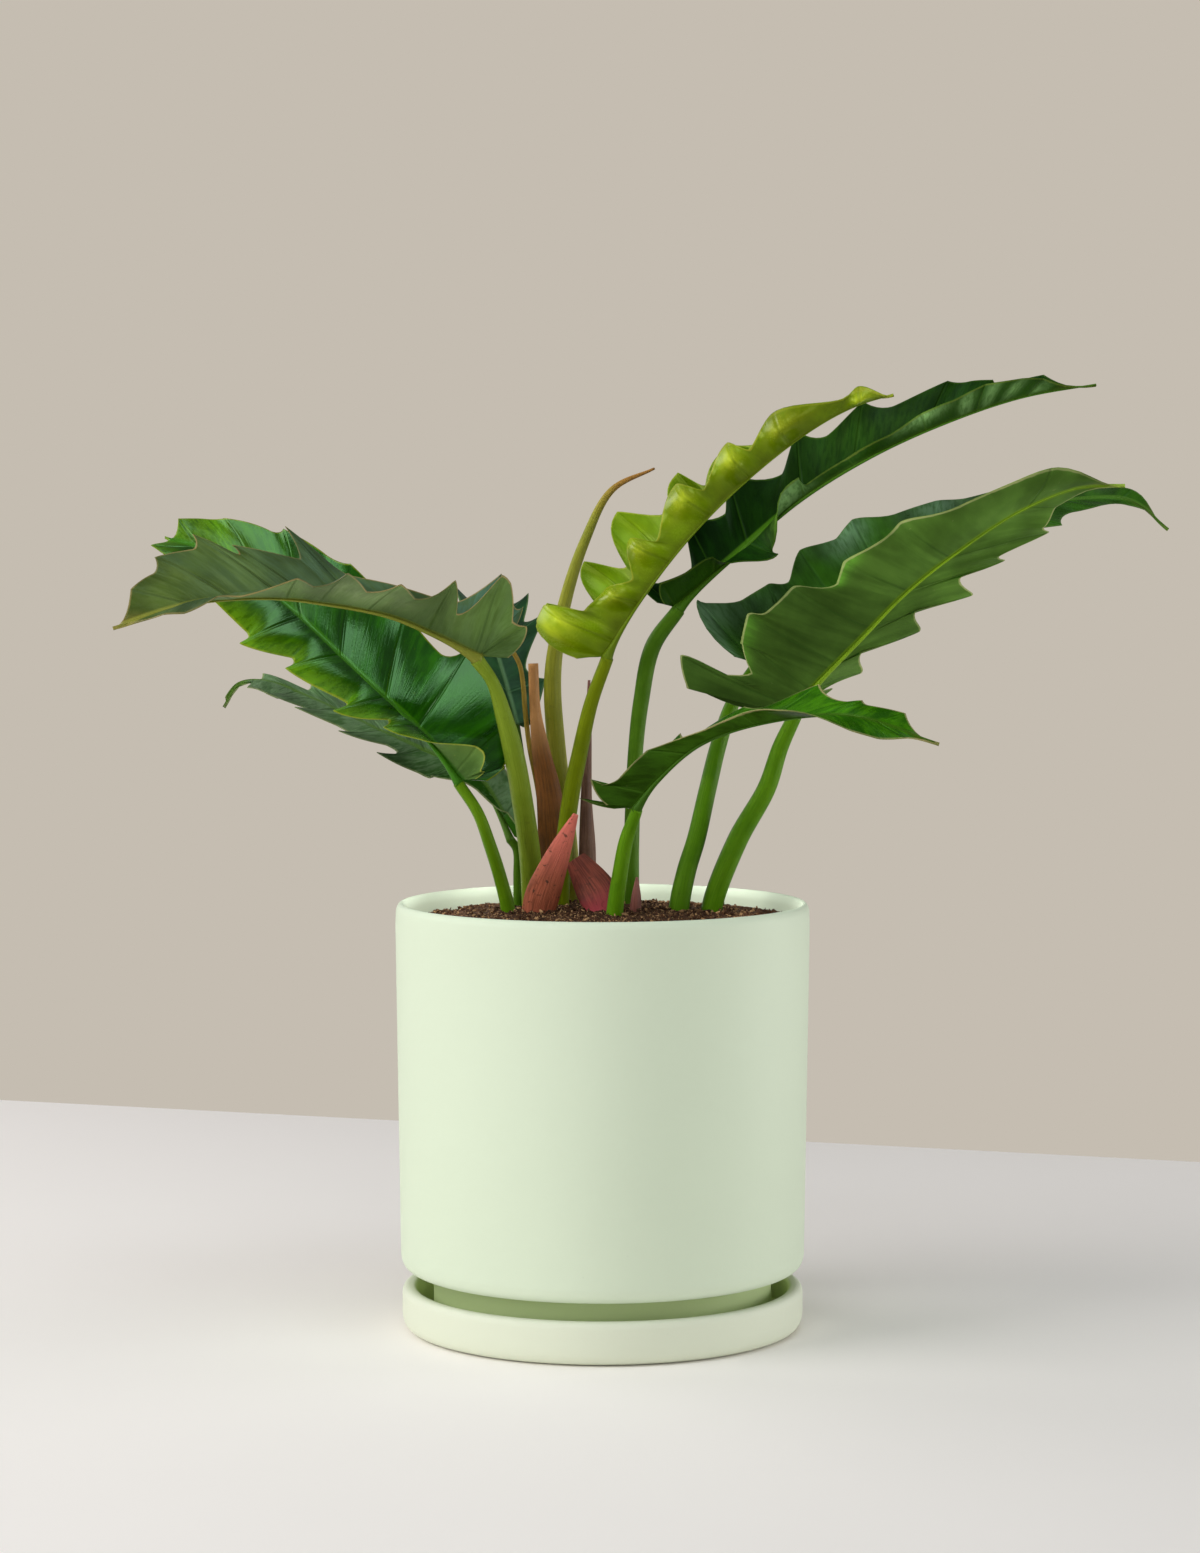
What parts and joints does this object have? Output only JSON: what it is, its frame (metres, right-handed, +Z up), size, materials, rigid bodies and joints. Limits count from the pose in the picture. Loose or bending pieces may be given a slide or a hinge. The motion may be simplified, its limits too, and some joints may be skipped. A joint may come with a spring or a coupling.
{
  "type": "potted aroid house plant",
  "caption": "Leafy house plant with long narrow saw-edged leaves on tall stalks, standing in soil in a matte ceramic cylinder pot with its saucer.",
  "frame": {"origin": "centre of the saucer's flat underside", "axes": "+Z up; +X towards the large leaves on the viewer's right, -Y towards the viewer"},
  "size_m": [0.534, 0.279, 0.4858],
  "materials": {
    "saucer_glaze": "matte pale mint-cream glaze",
    "pot_glaze": "matte pale mint glaze",
    "soil": "dark brown potting soil with tan flecks",
    "leaf_underside_grey": "matte grey-green underside, dark green top",
    "leaf_dark_blue": "satin blue-green",
    "leaf_glossy": "glossy mid green with yellow-green margins",
    "leaf_young": "satin yellow-green",
    "leaf_dark": "satin dark green",
    "petiole": "satin olive green stalk",
    "spike": "satin olive yellow, reddish at the tip",
    "sheath_brown": "matte russet brown",
    "sheath_pink": "satin pink-red",
    "sheath_purple": "matte purple-brown",
    "sheath_red": "satin wine red",
    "dry_stalk": "dry yellow"
  },
  "bodies": {
    "root": {"saucer": "saucer_glaze", "pot": "pot_glaze", "soil": "soil", "blade_a_left_front": "leaf_underside_grey", "blade_b_back": "leaf_dark_blue", "blade_c_left_glossy": "leaf_glossy", "blade_d_left_low": "leaf_dark_blue", "blade_e_young_cupped": "leaf_young", "blade_f_right_upper": "leaf_dark", "blade_g_right_large": "leaf_underside_grey", "blade_h_right_behind": "leaf_dark_blue", "blade_i_small_front": "leaf_dark", "petiole_a": "petiole", "petiole_b": "petiole", "petiole_c": "petiole", "petiole_d": "petiole", "petiole_e": "petiole", "petiole_f": "petiole", "petiole_g": "petiole", "petiole_h": "petiole", "petiole_i": "petiole", "new_leaf_spike": "spike", "sheath_brown_tall": "sheath_brown", "sheath_pink": "sheath_pink", "sheath_purple": "sheath_purple", "sheath_red_wide": "sheath_red", "sheath_small": "sheath_brown", "dry_stalk": "dry_stalk"}
  },
  "joints": []
}
